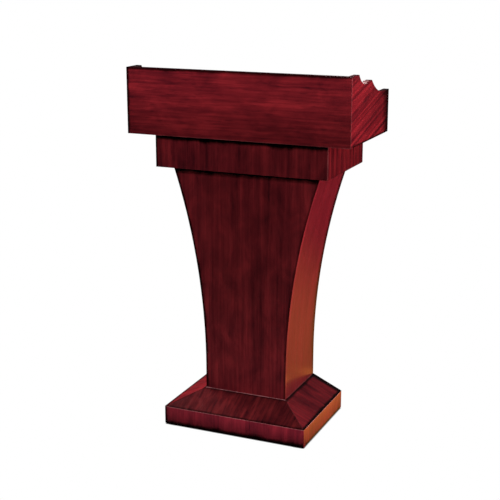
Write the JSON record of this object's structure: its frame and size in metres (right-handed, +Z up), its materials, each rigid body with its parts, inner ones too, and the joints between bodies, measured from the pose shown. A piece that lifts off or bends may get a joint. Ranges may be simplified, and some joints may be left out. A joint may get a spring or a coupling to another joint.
{
  "type": "wooden pulpit",
  "caption": "Standing wooden pulpit: a scalloped desk box with a sloping reading board, a drawer below it, a flared column cupboard and a hipped base.",
  "frame": {"origin": "on the floor, under the middle of the whole object's box", "axes": "+Z up, -Y towards the audience, +Y towards the speaker, +X to the right as the audience sees it"},
  "size_m": [0.698, 0.392, 1.1],
  "materials": {
    "front_veneer": "dark red mahogany veneer under gloss lacquer",
    "side_veneer": "brighter red mahogany veneer under gloss lacquer",
    "skirt_veneer": "dark red mahogany veneer under gloss lacquer",
    "plinth_veneer": "warm red mahogany veneer under gloss lacquer",
    "top_veneer": "red mahogany veneer under satin lacquer",
    "carcass_wood": "plain sawn softwood",
    "plywood": "clear-sealed birch plywood",
    "brass": "polished",
    "steel": "zinc plated",
    "black_plastic": "matt"
  },
  "bodies": {
    "carcass": {"base_board": "plywood", "case_rail_left": "steel", "case_rail_right": "steel", "catch_body": "black_plastic", "column_front_panel": "front_veneer", "column_left_side": "side_veneer", "column_right_side": "side_veneer", "column_shelf": "plywood", "desk_bottom_board": "top_veneer", "desk_front_board": "front_veneer", "desk_left_side": "side_veneer", "desk_right_side": "side_veneer", "foot_batten_left": "carcass_wood", "foot_batten_right": "carcass_wood", "glide_front_left": "black_plastic", "glide_front_right": "black_plastic", "glide_rear_left": "black_plastic", "glide_rear_right": "black_plastic", "lower_hinge_frame_leaf": "brass", "lower_hinge_pin": "brass", "neck_bottom_board": "side_veneer", "neck_front_board": "front_veneer", "neck_left_side": "side_veneer", "neck_right_side": "side_veneer", "page_stop": "top_veneer", "plinth_back": "front_veneer", "plinth_front": "front_veneer", "plinth_left": "plinth_veneer", "plinth_right": "plinth_veneer", "reading_board": "top_veneer", "reading_cleat_front": "carcass_wood", "reading_cleat_left": "carcass_wood", "reading_cleat_right": "carcass_wood", "rear_bottom_rail": "front_veneer", "rear_left_stile": "front_veneer", "rear_right_stile": "front_veneer", "rear_top_rail": "front_veneer", "shelf_cleat_left": "carcass_wood", "shelf_cleat_right": "carcass_wood", "skirt_front": "skirt_veneer", "skirt_left": "skirt_veneer", "skirt_right": "skirt_veneer", "top_batten_left": "carcass_wood", "top_batten_right": "carcass_wood", "upper_hinge_frame_leaf": "brass", "upper_hinge_pin": "brass"},
    "drawer": {"drawer_front": "front_veneer", "drawer_back": "plywood", "drawer_bottom": "plywood", "drawer_left_side": "plywood", "drawer_right_side": "plywood", "drawer_knob": "brass", "drawer_rail_left": "steel", "drawer_rail_right": "steel"},
    "door": {"column_door": "front_veneer", "door_knob": "brass", "upper_hinge_door_leaf": "brass", "lower_hinge_door_leaf": "brass", "catch_strike": "steel"}
  },
  "joints": [
    {"name": "drawer_slide", "type": "slide", "parent": "carcass", "child": "drawer", "axis": [0, 1, 0], "range_m": [0, 0.2]},
    {"name": "door_hinge", "type": "hinge", "parent": "carcass", "child": "door", "pos_m": [0.094, 0.1478, 0.17], "axis": [0, 0, -1], "range_deg": [0, 105]}
  ]
}
